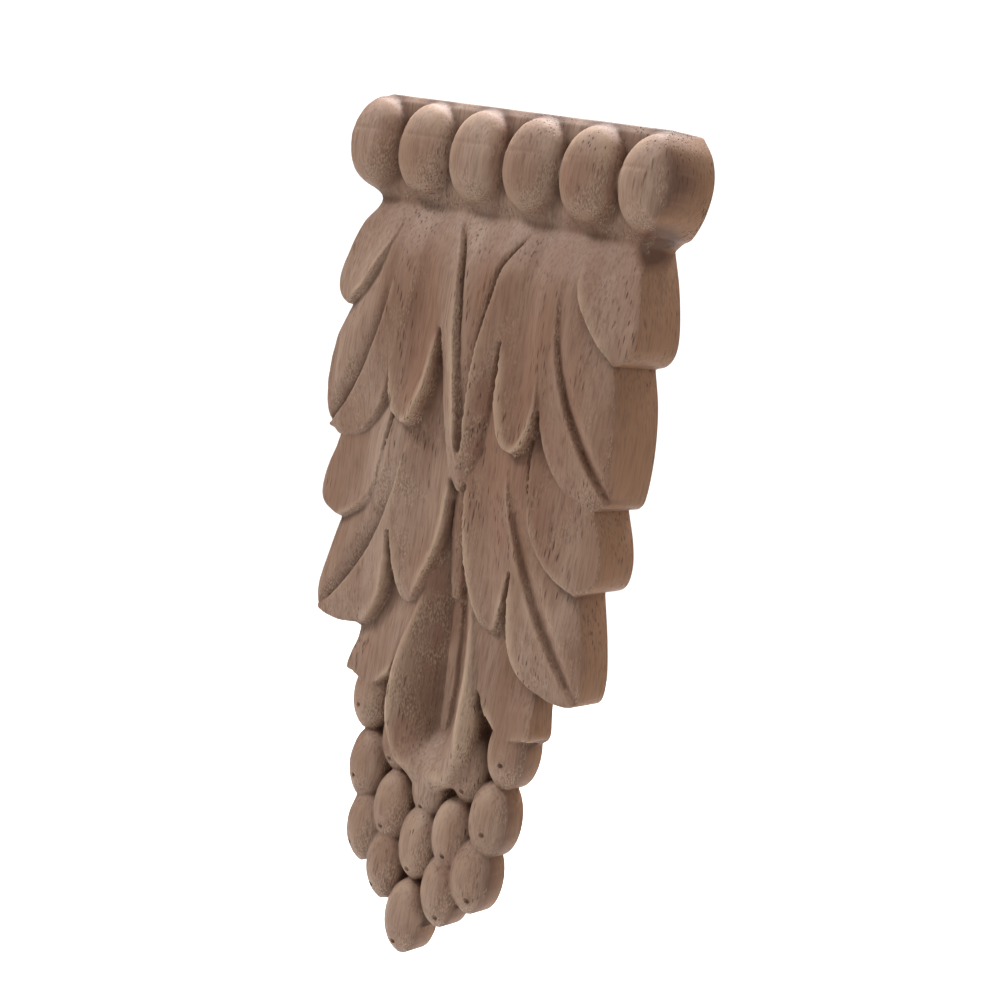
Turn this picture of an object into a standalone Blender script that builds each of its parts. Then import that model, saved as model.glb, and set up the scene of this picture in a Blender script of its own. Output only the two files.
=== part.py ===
"""A carved wooden onlay: an egg rail over an acanthus drop that ends in a bunch of grapes.

It is one piece of rubberwood, cut from the front only, with upright sides and a flat back. The shape is
a relief: for every place on the face there is one height above the back. Places are given as (across
from the middle line, up from the foot, height above the back) in millimetres, for the right half. The
left half is its mirror image. The object's origin is on the flat back, at half its height.
"""

import bpy
import numpy as np
from mathutils import Vector
from mathutils.geometry import delaunay_2d_cdt

MM = 0.001
TALL = 196.8
HALF_TALL = TALL / 2

# The rail: six eggs side by side, reaching from the top edge down to a lip over the hollow neck.
NECK_UP = 172.8
EGGS = 6
EGG_PITCH = 15.8
EGG_HALF_WIDTH = 8.3
EGG_HALF_HEIGHT = 11.6
EGG_UP = 186.6
EGG_FOOT = 12.2
EGG_RISE = 6.2
EGG_FULLNESS = 0.36
RAIL_PROFILE = [(172.0, 11.6), (173.2, 11.3), (174.4, 12.3), (176.4, 13.1), (180.0, 13.1), (185.0, 12.6),
                (190.0, 12.3), (197.2, 12.2)]

# The right end of the rail is rounded over towards the outline.
RAIL_ROUND_FROM = 38.8
RAIL_ROUND_REACH = 6.6
RAIL_ROUND_DROP = 8.4

# The grapes: ellipsoids in staggered rows, each given by its middle and the height it stands on.
GRAPE_HALF_WIDTH = 5.7
GRAPE_HALF_HEIGHT = 9.2
GRAPE_RISE = 5.0
GRAPE_GROUND = 2.4
OUTER_GRAPES = [(21.6, 57.3, 3.8), (19.6, 40.2, 3.8), (17.2, 25.7, 3.8), (9.1, 19.2, 3.8),
                (0.0, 9.2, 4.6)]
INNER_GRAPES = [(0.0, 27.4, 3.8), (9.6, 33.0, 3.8), (0.0, 42.2, 2.6), (11.2, 50.2, 3.0)]
GRAPE_NOTCHES = [(27.0, 60.2), (22.4, 48.8), (21.4, 31.6), (16.0, 17.4), (7.4, 9.6), (0.0, 0.0)]

# How the solid is faceted.
CELL = 2.9
GRAPE_CELL = 1.9
GRAPES_UP_TO = 44
CURVE_STEP = 2.4
LEDGE = 0.5
LEAST_STEP = 0.4
COVERED_BY = 0.6
EDGE_ROOM = 0.7
RIM_SAMPLED_IN = 0.25
EGG_RINGS = (0.985, 0.8)
GRAPE_RINGS = (0.95, 0.55)
LOFT_ALONG = 25
LOFT_BETWEEN = 9

# The outline of the right half from the top corner down, one row for each bulge between two notches.
RAIL_END = [(40.2, TALL), (43.6, 192.6), (45.1, 187.2), (44.4, 181.0), (42.2, 176.0), (40.2, 174.6),
            (38.4, 172.8)]
LOBE_1_END = [(38.4, 172.8), (41.2, 165.2), (43.2, 157.0), (43.4, 152.0), (41.8, 149.0), (38.9, 147.7)]
LOBE_2_END = [(38.9, 147.7), (41.4, 139.5), (42.7, 130.0), (42.6, 121.0), (41.4, 118.0), (38.6, 117.0)]
LOBE_3_END = [(38.6, 117.0), (41.4, 110.0), (42.4, 104.5), (41.2, 100.2), (36.4, 97.9)]
LOBE_4_END = [(36.4, 97.9), (39.4, 87.5), (41.0, 79.0), (40.0, 73.9), (34.0, 72.6), (27.4, 73.6)]
LOBE_5_END = [(27.4, 73.6), (28.2, 67.0), (28.8, 63.4), (28.4, 61.4), (27.0, 60.2)]

# The upper leaf. It hangs from the neck and parts into a tongue, a finger and a band on each side of the
# middle, which end free, and two lobes outside a sharp quirk.
STEM = [(0.0, 172.8, 12.4), (0.0, 164.5, 16.0), (0.0, 157.0, 17.0), (0.0, 149.0, 17.2),
        (0.0, 140.0, 16.2), (0.0, 130.0, 14.4), (0.0, 122.5, 13.4), (0.0, 119.6, 14.0),
        (0.0, 116.0, 12.0)]
STEM_CREST = [(9.2, 172.8, 12.4), (5.0, 164.5, 16.0), (3.3, 157.0, 16.9), (2.2, 149.0, 16.9),
              (1.4, 140.0, 15.9), (0.7, 130.0, 14.2), (0.5, 122.5, 13.2), (0.1, 119.6, 13.8),
              (0.1, 116.0, 12.0)]
V_EDGE = [(11.2, 172.8, 12.6), (6.6, 164.5, 16.5), (4.9, 157.0, 17.6), (3.6, 149.0, 18.2),
          (2.3, 140.0, 17.7), (1.3, 130.0, 16.5), (0.9, 122.5, 15.3), (0.0, 119.6, 14.6),
          (0.0, 111.8, 12.2)]
V_DEPTHS = [1.4, 2.6, 2.6, 2.7, 2.5, 2.4, 2.2, 0.8, 0.4]
RIB_TOP = [(14.0, 172.6, 12.5), (11.6, 163.0, 16.4), (9.6, 155.5, 16.9)]
SLOT_1_IN = [(9.0, 148.5, 16.8), (7.8, 139.5, 15.2), (6.4, 130.0, 14.2), (4.2, 120.0, 13.2),
             (2.2, 114.6, 12.5), (0.0, 111.8, 12.2)]
SLOT_1_OUT = [(9.0, 148.5, 16.8), (9.6, 141.0, 17.2), (10.2, 134.5, 17.8), (12.2, 128.4, 17.8),
              (14.2, 125.2, 17.4), (16.6, 124.2, 16.8)]
FINGER_1_GOUGE = [(16.5, 172.8, 12.4), (15.0, 162.5, 15.8), (14.8, 154.0, 15.8), (15.6, 146.0, 15.8),
                  (16.4, 139.0, 15.9), (16.8, 132.7, 16.2), (16.8, 128.0, 16.6), (16.6, 124.2, 16.8)]
FOLD_TOP = [(19.0, 172.6, 12.5), (18.2, 162.0, 16.9), (19.0, 152.0, 17.5)]
FINGER_1_OUT = [(21.0, 143.5, 17.4), (21.8, 137.0, 17.6), (21.4, 131.5, 17.6), (19.6, 126.6, 17.4),
                (16.6, 124.2, 16.8)]
BAND_2_IN = [(21.0, 143.5, 17.4), (21.9, 135.5, 16.4), (24.4, 127.4, 15.6), (28.4, 121.4, 14.6),
             (33.0, 118.4, 13.4), (38.6, 117.2, 12.6)]
QUIRK_2 = [(24.5, 172.6, 12.5), (23.7, 163.5, 16.7), (24.4, 154.5, 18.1), (26.0, 146.5, 18.3),
           (28.6, 139.0, 17.6), (31.8, 132.5, 16.4), (35.6, 126.6, 15.4), (39.4, 121.9, 14.4),
           (42.3, 118.9, 13.4)]
LOBE_1_CREST = [(27.0, 172.6, 12.4), (26.8, 167.0, 15.8), (27.8, 162.5, 18.0), (29.4, 159.3, 18.8),
                (31.4, 156.2, 18.6), (33.2, 153.6, 18.0), (35.6, 151.1, 17.8), (39.1, 147.9, 16.2)]
LOBE_1_GOUGE = [(34.0, 172.6, 12.2), (34.6, 168.0, 13.4), (35.4, 164.0, 14.6), (36.2, 160.5, 15.4),
                (37.0, 157.0, 16.0), (37.8, 154.0, 16.3), (38.6, 151.2, 16.4), (39.2, 147.9, 16.0)]
LOBE_1_RIM = [(38.4, 172.8, 12.2), (41.3, 165.2, 14.0), (42.9, 159.0, 15.0), (43.6, 153.0, 15.8),
              (42.6, 149.8, 15.8), (39.1, 147.6, 15.9)]
QUIRK_2_DEPTHS = [0.0, 0.2, 1.0, 1.7, 2.0, 2.2, 2.2, 2.0, 1.4]
LOBE_2_CROWN = [(26.0, 172.6, 12.4), (26.6, 163.5, 16.8), (27.6, 155.6, 17.7), (29.6, 148.0, 18.0),
                (32.4, 140.8, 17.8), (35.4, 134.4, 17.2), (38.6, 128.4, 16.0), (41.0, 123.2, 14.2),
                (42.6, 119.4, 12.2)]
LOBE_2_RIM = [(28.6, 172.6, 12.2), (29.0, 163.5, 16.2), (33.0, 154.5, 16.0), (38.9, 147.7, 14.8),
              (41.6, 140.0, 15.6), (42.8, 132.0, 15.4), (42.9, 126.0, 14.8), (42.8, 121.6, 13.6),
              (42.7, 119.4, 12.2)]

# The lower leaf comes out from under the upper one in the same way, nearer the back.
LOBE_3_CREST = [(20.6, 136.0, 12.6), (21.0, 129.0, 14.4), (21.4, 122.0, 15.2), (22.6, 114.0, 15.0),
                (24.4, 107.5, 14.4), (28.0, 102.6, 14.0), (32.2, 99.6, 13.2), (36.4, 97.7, 12.0)]
LOBE_3_GOUGE = [(26.0, 134.0, 11.0), (28.0, 127.0, 12.6), (30.0, 120.0, 13.2), (31.6, 114.0, 12.8),
                (33.4, 107.5, 12.2), (35.2, 102.5, 12.4), (36.0, 99.6, 12.4), (36.6, 97.8, 12.0)]
LOBE_3_RIM = [(32.0, 130.0, 10.5), (35.6, 124.0, 11.8), (38.6, 118.0, 12.4), (40.4, 113.0, 11.9),
              (42.5, 106.0, 11.9), (42.2, 102.0, 12.2), (40.4, 99.2, 12.2), (36.8, 97.7, 12.0)]
JOIN_TOP = [(14.4, 134.0, 11.6), (15.0, 124.0, 14.0), (15.8, 114.0, 14.2), (17.4, 106.5, 13.3)]
FINGER_2_IN = [(4.6, 134.0, 10.6), (4.0, 124.0, 12.2), (2.4, 115.0, 12.6), (2.4, 107.5, 12.4),
               (3.4, 101.0, 12.0), (5.2, 95.0, 11.8), (7.6, 89.5, 11.4), (9.4, 86.2, 10.6),
               (11.0, 83.8, 9.6), (12.8, 82.9, 8.8)]
FINGER_2_GOUGE = [(9.0, 134.0, 10.8), (9.0, 124.0, 12.4), (8.6, 114.5, 12.0), (9.2, 106.5, 11.3),
                  (10.4, 99.5, 10.9), (11.8, 94.0, 10.7), (12.8, 89.0, 10.3), (13.0, 85.2, 9.6),
                  (12.8, 82.9, 8.8)]
SLOT_2_IN = [(18.8, 100.2, 12.6), (18.0, 94.5, 12.0), (16.8, 89.0, 11.0), (15.4, 85.0, 9.8),
             (14.2, 83.4, 9.2), (12.8, 82.9, 8.8)]
BAND_4_IN = [(18.8, 100.2, 12.6), (18.8, 90.0, 11.9), (20.0, 82.5, 11.0), (22.8, 77.0, 10.2),
             (27.4, 73.4, 9.0), (34.0, 72.4, 9.2), (40.0, 73.7, 9.8)]
QUIRK_4 = [(13.6, 134.0, 11.8), (14.4, 124.0, 14.4), (16.4, 115.5, 15.0), (18.3, 108.5, 13.9),
           (20.8, 102.0, 13.0), (23.6, 95.8, 12.2), (26.8, 90.2, 11.7), (30.2, 85.2, 11.3),
           (33.8, 80.6, 10.9), (37.2, 77.0, 10.5), (40.4, 74.2, 10.0)]
QUIRK_4_DEPTHS = [0.2, 0.6, 1.2, 1.5, 1.8, 2.0, 2.2, 2.3, 2.1, 1.7, 0.8]
LOBE_4_CROWN = [(16.6, 134.0, 11.6), (17.6, 124.0, 14.4), (19.4, 117.0, 14.6), (21.4, 110.6, 13.8),
                (24.4, 103.6, 12.9), (28.6, 97.6, 12.3), (31.2, 93.0, 11.9), (34.6, 86.6, 11.3),
                (37.8, 80.6, 10.4), (40.8, 74.8, 9.2)]
LOBE_4_RIM = [(20.0, 134.0, 12.0), (20.8, 124.0, 14.6), (22.4, 115.0, 14.6), (24.6, 107.4, 13.8),
              (29.4, 102.0, 12.0), (36.4, 98.2, 9.8), (38.2, 92.0, 9.6), (40.0, 85.0, 9.6),
              (41.2, 79.0, 9.6), (40.9, 75.2, 9.2)]
STEM_LOW = [(0.0, 118.0, 9.6), (0.0, 112.0, 10.6), (0.0, 104.0, 10.0), (0.0, 95.0, 8.2),
            (0.0, 86.6, 6.4)]
STEM_LOW_SIDE = [(1.8, 118.0, 9.2), (1.9, 112.0, 10.2), (2.0, 104.0, 9.7), (1.9, 95.0, 8.0),
                 (1.6, 86.6, 6.4)]

# The lowest lobes, and the middle leaf, which is cupped between them and curls up over the grapes.
LOBE_5_CREST = [(4.0, 108.0, 7.6), (5.0, 97.0, 8.8), (6.6, 91.0, 9.0), (8.6, 84.6, 8.9),
                (10.8, 77.0, 9.0), (12.8, 69.5, 9.0), (15.0, 64.1, 8.6)]
LOBE_5_GOUGE = [(12.0, 108.0, 6.0), (12.4, 97.0, 7.4), (13.4, 91.0, 7.6), (14.8, 84.6, 7.8),
                (16.6, 77.0, 8.2), (18.6, 69.5, 8.4), (20.4, 60.6, 8.4)]
LOBE_5_RIM = [(21.0, 100.0, 5.4), (23.0, 92.0, 6.4), (25.4, 84.0, 6.8), (27.4, 74.6, 6.8),
              (28.4, 69.0, 7.0), (29.0, 65.5, 8.0), (28.4, 61.6, 8.6)]
LOBE_5_LOW = [LOBE_5_CREST[-1], LOBE_5_GOUGE[-1], LOBE_5_RIM[-1]]
VEIN = [(0.0, 112.0, 7.6), (0.0, 100.0, 7.6), (0.0, 92.0, 5.8), (0.0, 84.0, 4.3), (0.0, 76.0, 3.3),
        (0.0, 68.0, 2.8), (0.0, 60.0, 2.6), (0.0, 54.6, 2.9), (0.0, 49.4, 6.4), (0.0, 45.4, 8.2)]
VEIN_BED = [(1.6, 112.0, 7.6), (1.6, 100.0, 7.6), (1.9, 92.0, 5.9), (2.2, 84.0, 4.4), (2.5, 76.0, 3.4),
            (2.6, 68.0, 2.9), (2.6, 60.0, 2.8), (2.5, 54.6, 3.4), (2.4, 49.4, 6.7), (2.2, 45.4, 8.6)]
VEIN_RIB = [(0.0, 92.0, 5.9), (0.0, 84.0, 5.2), (0.0, 77.0, 4.3), (0.0, 70.0, 3.9), (0.0, 63.5, 3.6),
            (0.0, 57.0, 3.4), (0.0, 54.2, 3.0)]
VEIN_RIB_SIDE = [(1.4, 92.0, 5.7), (1.5, 84.0, 5.0), (1.6, 77.0, 4.1), (1.6, 70.0, 3.7), (1.5, 63.5, 3.4),
                 (1.2, 57.0, 3.2), (0.5, 54.4, 2.9)]
LEAF_HOLLOW = [(3.0, 112.0, 7.8), (3.0, 100.0, 8.0), (3.4, 92.0, 7.0), (4.2, 84.0, 6.2),
               (5.2, 76.0, 5.8), (5.8, 68.5, 6.0), (6.0, 61.0, 6.4), (5.6, 55.0, 7.0), (5.2, 49.4, 8.2),
               (4.6, 45.4, 9.2)]
LEAF_CREST = [(4.6, 112.0, 7.8), (5.0, 100.0, 8.2), (6.2, 92.0, 8.8), (7.8, 84.0, 9.4),
              (9.4, 76.0, 10.4), (10.4, 68.5, 11.4), (10.6, 61.0, 11.8), (10.6, 55.0, 11.2),
              (9.8, 49.8, 10.0), (8.2, 45.4, 8.8)]
LEAF_RIM = [(5.6, 112.0, 7.4), (6.0, 100.0, 8.0), (7.2, 92.0, 8.4), (9.2, 84.5, 8.6), (11.4, 77.0, 8.8),
            (12.8, 69.5, 9.4), (13.0, 61.0, 10.0), (13.0, 55.0, 9.2), (12.4, 49.6, 7.6),
            (10.0, 45.2, 6.8)]
LEAF_TURN = [(10.0, 45.2, 6.8), (8.2, 45.4, 8.8), (4.6, 45.4, 9.2), (2.4, 45.4, 8.7), (0.0, 45.4, 8.2)]
LEAF_TIPS = [(9.0, 44.0, 6.4), (6.6, 43.0, 6.4), (4.6, 41.6, 6.4), (2.4, 40.4, 6.8), (0.0, 40.0, 7.0)]

# What shows at the bottom of the slots and the quirks.
BED_IN = [(0.0, 172.0, 9.0), (0.0, 150.0, 13.0), (0.0, 130.0, 12.6), (1.0, 112.0, 9.4),
          (4.0, 100.0, 7.6), (10.0, 86.0, 6.4), (12.4, 70.0, 6.2), (12.4, 60.0, 2.0)]
BED_MIDDLE = [(16.0, 172.0, 11.0), (16.0, 150.0, 14.0), (16.0, 130.0, 13.8), (16.0, 118.0, 12.6),
              (17.0, 106.0, 10.0), (20.0, 88.0, 7.2), (22.0, 72.0, 6.6), (21.0, 60.0, 2.0)]
BED_OUT = [(46.0, 172.0, 11.0), (46.0, 150.0, 13.6), (46.0, 132.0, 12.0), (46.0, 119.0, 11.4),
           (46.0, 106.0, 9.4), (46.0, 88.0, 9.0), (46.0, 70.0, 8.4), (30.0, 60.0, 2.0)]

# The edges where the carving drops to a lower piece of leaf, and the soft folds.
DROPS = [V_EDGE, SLOT_1_IN, SLOT_1_OUT, FINGER_1_OUT, BAND_2_IN, QUIRK_2, LOBE_1_CREST, LOBE_3_CREST,
         FINGER_2_IN, SLOT_2_IN, BAND_4_IN, QUIRK_4, LOBE_5_LOW, VEIN_RIB_SIDE, LEAF_RIM, LEAF_TIPS]
FOLDS = [RIB_TOP, FOLD_TOP, LOBE_5_CREST, LEAF_CREST, LEAF_TURN]


def spline(points, count):
    """A smooth curve through the points, or a smooth sheet through a stack of like curves."""
    points = np.asarray(points, float)
    before = 2 * points[0] - points[1]
    after = 2 * points[-1] - points[-2]
    held = np.concatenate([[before], points, [after]])
    place = np.linspace(0, len(points) - 1, count)
    span = np.minimum(place.astype(int), len(points) - 2)
    t = (place - span).reshape((-1,) + (1,) * (points.ndim - 1))
    a, b, c, d = (held[span + k] for k in range(4))
    curved = (2 * a - 5 * b + 4 * c - d) * t**2 + (3 * b - a - 3 * c + d) * t**3
    return 0.5 * (2 * b + (c - a) * t + curved)


def loft(*edges):
    """A surface through edges that run side by side, as a grid of points."""
    return spline(np.stack([spline(edge, LOFT_ALONG) for edge in edges]), LOFT_BETWEEN)


def lowered(edge, depths):
    """The edge as it runs at the bottom of the cut beside it."""
    return [(x, up, height - depth) for (x, up, height), depth in zip(edge, depths)]


def leaf_surfaces():
    """The leaves as grids of points. Where two overlap, the higher one shows."""
    return [loft(BED_IN, BED_MIDDLE, BED_OUT),
            loft(STEM, STEM_CREST, lowered(V_EDGE, V_DEPTHS)),
            loft(V_EDGE, RIB_TOP + SLOT_1_IN),
            loft(RIB_TOP + SLOT_1_OUT, FINGER_1_GOUGE, FOLD_TOP + FINGER_1_OUT),
            loft(FOLD_TOP + BAND_2_IN, QUIRK_2),
            loft(LOBE_1_CREST, LOBE_1_GOUGE, LOBE_1_RIM),
            loft(lowered(QUIRK_2, QUIRK_2_DEPTHS), LOBE_2_CROWN, LOBE_2_RIM),
            loft(LOBE_3_CREST, LOBE_3_GOUGE, LOBE_3_RIM),
            loft(FINGER_2_IN, FINGER_2_GOUGE, JOIN_TOP + SLOT_2_IN),
            loft(JOIN_TOP + BAND_4_IN, QUIRK_4),
            loft(lowered(QUIRK_4, QUIRK_4_DEPTHS), LOBE_4_CROWN, LOBE_4_RIM),
            loft(STEM_LOW, STEM_LOW_SIDE),
            loft(LOBE_5_CREST, LOBE_5_GOUGE, LOBE_5_RIM),
            loft(VEIN, VEIN_BED, LEAF_HOLLOW, LEAF_CREST, LEAF_RIM),
            loft(VEIN_RIB, VEIN_RIB_SIDE),
            loft(LEAF_TURN, LEAF_TIPS)]


def drape(grid, across, up, height):
    """Raises the heights at the given places to a grid's surface, where it covers them."""
    corners = [grid[:-1, :-1], grid[1:, :-1], grid[1:, 1:], grid[:-1, 1:]]
    a, b, c, d = (part.reshape(-1, 3) for part in corners)
    triangles = np.concatenate([np.stack([a, b, c], 1), np.stack([a, c, d], 1)])
    order = np.argsort(across)
    sorted_across = across[order]
    slack = 0.02
    for p, q, r in triangles:
        double_area = (q[0] - p[0]) * (r[1] - p[1]) - (q[1] - p[1]) * (r[0] - p[0])
        if abs(double_area) < 1e-6:
            continue
        ends = (min(p[0], q[0], r[0]) - slack, max(p[0], q[0], r[0]) + slack)
        low, high = np.searchsorted(sorted_across, ends)
        some = order[low:high]
        some = some[(up[some] > min(p[1], q[1], r[1]) - slack) & (up[some] < max(p[1], q[1], r[1]) + slack)]
        x, y = across[some], up[some]
        v = ((x - p[0]) * (r[1] - p[1]) - (y - p[1]) * (r[0] - p[0])) / double_area
        w = ((q[0] - p[0]) * (y - p[1]) - (q[1] - p[1]) * (x - p[0])) / double_area
        edge = slack / np.sqrt(abs(double_area))
        inside = (v > -edge) & (w > -edge) & (v + w < 1 + edge)
        z = p[2] + v * (q[2] - p[2]) + w * (r[2] - p[2])
        height[some[inside]] = np.maximum(height[some[inside]], z[inside])


def dome(across, up, middle, half_width, half_height, foot, rise, fullness=0.5):
    """The heights of an egg or a grape: an ellipsoid, or below 0.5 a fuller one with a flatter top."""
    room = 1 - ((across - middle[0]) / half_width) ** 2 - ((up - middle[1]) / half_height) ** 2
    return np.where(room > 0, foot + rise * np.maximum(room, 0) ** fullness, 0)


def rail_height(across, up):
    right_end = np.clip((across - RAIL_ROUND_FROM) / RAIL_ROUND_REACH, 0, 1)
    rounded = EGG_FOOT + EGG_RISE - RAIL_ROUND_DROP * (1 - np.sqrt(1 - right_end**2))
    across = np.abs(across)
    ground = np.interp(up, *spline(RAIL_PROFILE, 60).T)
    height = np.where(up >= NECK_UP - 0.3, ground, 0)
    for number in range(EGGS // 2):
        middle = ((number + 0.5) * EGG_PITCH, EGG_UP)
        egg = dome(across, up, middle, EGG_HALF_WIDTH, EGG_HALF_HEIGHT, EGG_FOOT, EGG_RISE, EGG_FULLNESS)
        height = np.maximum(height, np.where(up >= NECK_UP, egg, 0))
    return np.minimum(height, rounded)


def relief_height(across, up):
    """The height above the back at each place of the face."""
    rail = rail_height(across, up)
    across = np.abs(across)
    height = np.full(len(across), GRAPE_GROUND)
    for x, y, foot in OUTER_GRAPES + INNER_GRAPES:
        grape = dome(across, up, (x, y), GRAPE_HALF_WIDTH, GRAPE_HALF_HEIGHT, foot, GRAPE_RISE)
        height = np.maximum(height, grape)
    for grid in leaf_surfaces():
        drape(grid, across, up, height)
    return np.maximum(height, rail)


def grape_outline():
    """The outer edge of the bunch, from the lowest lobe to the foot, along one grape after another."""
    points = []
    for number, (x, y, _) in enumerate(OUTER_GRAPES):
        start, end = (np.arctan2((b - y) / GRAPE_HALF_HEIGHT, (a - x) / GRAPE_HALF_WIDTH)
                      for a, b in GRAPE_NOTCHES[number:number + 2])
        turns = np.linspace(start, end, max(4, round((start - end) * 7.5 / CURVE_STEP)))
        points += [(x + GRAPE_HALF_WIDTH * np.cos(turn), y + GRAPE_HALF_HEIGHT * np.sin(turn))
                   for turn in turns[1:-1]]
        points.append(GRAPE_NOTCHES[number + 1])
    return points


def outline():
    """The whole outline, once round against the clock, as places on the face."""
    right = []
    for bulge in (RAIL_END, LOBE_1_END, LOBE_2_END, LOBE_3_END, LOBE_4_END, LOBE_5_END):
        length = np.hypot(*np.diff(bulge, axis=0).T).sum()
        right += [tuple(point) for point in spline(bulge, max(5, round(length / CURVE_STEP)))[:-1]]
    right += [LOBE_5_END[-1]] + grape_outline()
    left = [(-x, y) for x, y in reversed(right) if x > 0.01]
    corner = RAIL_END[0][0]
    top = [(x, TALL) for x in np.linspace(-corner, corner, round(2 * corner / CURVE_STEP))]
    return np.array(right + left + top[1:-1])[::-1]


def beside(line, gap):
    """The line moved to its right by the gap, or to its left by a negative one."""
    way = np.gradient(line[:, :2], axis=0)
    way /= np.linalg.norm(way, axis=1, keepdims=True)
    moved = line.copy()
    moved[:, :2] += gap * np.stack([way[:, 1], -way[:, 0]], 1)
    return moved


def inside(places, ring):
    """Which places lie within the ring."""
    found = np.zeros(len(places), bool)
    x, y = places[:, 0], places[:, 1]
    for (ax, ay), (bx, by) in zip(ring, np.roll(ring, -1, 0)):
        if ay != by:
            found ^= ((ay > y) != (by > y)) & (x < ax + (bx - ax) * (y - ay) / (by - ay))
    return found


# The finished mesh.


def stepped(edge):
    """The edge as a smooth curve with a point every few millimetres."""
    length = np.hypot(*np.diff(edge, axis=0).T[:2]).sum()
    return spline(edge, max(4, round(length / CURVE_STEP)))


def face_lines():
    """The lines that the facets follow: both sides of a drop, the folds, round the eggs and grapes."""
    lines = []
    for edge in DROPS:
        curve = stepped(edge)
        lines += [beside(curve, -LEDGE / 2), beside(curve, LEDGE / 2)]
    heights = relief_height(*np.concatenate(lines)[:, :2].T)
    heights = np.split(heights, np.cumsum([len(line) for line in lines])[:-1])
    kept = []
    for number in range(0, len(lines), 2):
        high, low = np.maximum(*heights[number:number + 2]), np.minimum(*heights[number:number + 2])
        shows = (high < lines[number][:, 2] + COVERED_BY) & (high - low > LEAST_STEP)
        for line in lines[number:number + 2]:
            kept += [part[1:] for part in np.split(line[:, :2], np.flatnonzero(~shows)) if len(part) > 2]
    for edge in FOLDS:
        kept.append(stepped(edge)[:, :2])
    turns = np.linspace(0, 2 * np.pi, 25)
    ring = np.stack([EGG_HALF_WIDTH * np.cos(turns), EGG_HALF_HEIGHT * np.sin(turns)], 1)
    for number in range(EGGS // 2):
        kept += [ring * scale + ((number + 0.5) * EGG_PITCH, EGG_UP) for scale in EGG_RINGS]
    for up, _ in RAIL_PROFILE[1:4]:
        kept.append(np.stack([np.linspace(0, 46, 20), np.full(20, up)], 1))
    turns = np.linspace(0, 2 * np.pi, 19)
    for x, y, foot in OUTER_GRAPES + INNER_GRAPES:
        for scale in GRAPE_RINGS:
            ring = np.stack([x + GRAPE_HALF_WIDTH * scale * np.cos(turns),
                             y + GRAPE_HALF_HEIGHT * scale * np.sin(turns)], 1)
            own = foot + GRAPE_RISE * np.sqrt(1 - scale**2)
            shows = relief_height(ring[:, 0], ring[:, 1]) < own + 0.15
            kept += [part[1:] for part in np.split(ring, np.flatnonzero(~shows)) if len(part) > 2]
    return kept


def face_places(ring):
    """The corners of the facets, and the lines between them that must be edges."""
    places = list(ring)
    edges = [(number, (number + 1) % len(ring)) for number in range(len(ring))]
    room = np.concatenate([ring, (ring + np.roll(ring, -1, 0)) / 2])
    for line in face_lines():
        for side in (1, -1):
            turned = line * (side, 1)
            far = np.hypot(*(turned[:, None] - room[None]).transpose(2, 0, 1)).min(1) > EDGE_ROOM
            fits = inside(turned, ring) & far & (line[:, 0] > 0.3)
            for part in np.split(np.arange(len(line)), np.flatnonzero(~fits)):
                part = part[fits[part]]
                edges += [(len(places) + step, len(places) + step + 1) for step in range(len(part) - 1)]
                places += list(turned[part])
    for cell, low, high in ((GRAPE_CELL, 0, GRAPES_UP_TO), (CELL, GRAPES_UP_TO, TALL)):
        columns = np.arange(-46, 46, cell)
        rows = np.arange(low + cell, high, cell * 0.87)
        spots = np.concatenate([np.stack([columns + cell / 2 * (number % 2), np.full(len(columns), row)], 1)
                                for number, row in enumerate(rows)])
        spots = spots[inside(spots, ring)]
        taken = np.array(places)
        near = np.concatenate([np.hypot(*(some[:, None] - taken[None]).transpose(2, 0, 1)).min(1)
                               for some in np.array_split(spots, 20)])
        places += list(spots[near > cell * 0.42])
    return places, edges


def build():
    ring = outline()
    places, edges = face_places(ring)
    flat, _, triangles, sources, _, _ = delaunay_2d_cdt(
        [Vector(place) for place in places], edges, [list(range(len(ring)))], 1, 1e-5)
    flat = np.array([tuple(place) for place in flat])
    on_ring = {source[0]: number for number, source in enumerate(sources)
               if source and source[0] < len(ring)}
    sampled = flat.copy()
    pulled = beside(np.concatenate([ring[-1:], ring, ring[:1]]), -RIM_SAMPLED_IN)[1:-1]
    for source, number in on_ring.items():
        sampled[number] = pulled[source]
    height = relief_height(sampled[:, 0], sampled[:, 1])
    front = [(x, -z, y - HALF_TALL) for (x, y), z in zip(flat, height)]
    back = [(x, 0.0, y - HALF_TALL) for x, y in ring]
    rim = [on_ring[number] for number in range(len(ring))]
    first = len(front)
    walls = []
    for number in range(len(ring)):
        after = (number + 1) % len(ring)
        walls.append((rim[number], first + number, first + after, rim[after]))
    _, _, floor, floor_sources, _, _ = delaunay_2d_cdt(
        [Vector(place) for place in ring], edges[:len(ring)], [list(range(len(ring)))], 1, 1e-5)
    behind = [[first + floor_sources[corner][0] for corner in reversed(face)] for face in floor]
    mesh = bpy.data.meshes.new("carved_onlay")
    corners = [tuple(np.array(place) * MM) for place in front + back]
    mesh.from_pydata(corners, [], triangles + walls + behind)
    return mesh


for old in list(bpy.data.objects):
    bpy.data.objects.remove(old)

onlay_mesh = build()
onlay_mesh.set_sharp_from_angle(angle=np.radians(35))
rubberwood = bpy.data.materials.new("rubberwood")
rubberwood.use_nodes = True
surface = rubberwood.node_tree.nodes["Principled BSDF"]
surface.inputs["Base Color"].default_value = (0.60, 0.43, 0.27, 1.0)
surface.inputs["Roughness"].default_value = 0.62
onlay_mesh.materials.append(rubberwood)
onlay = bpy.data.objects.new("carved_onlay", onlay_mesh)
bpy.context.scene.collection.objects.link(onlay)
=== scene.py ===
import bpy
import numpy as np
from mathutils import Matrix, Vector
from mathutils.geometry import delaunay_2d_cdt


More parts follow.
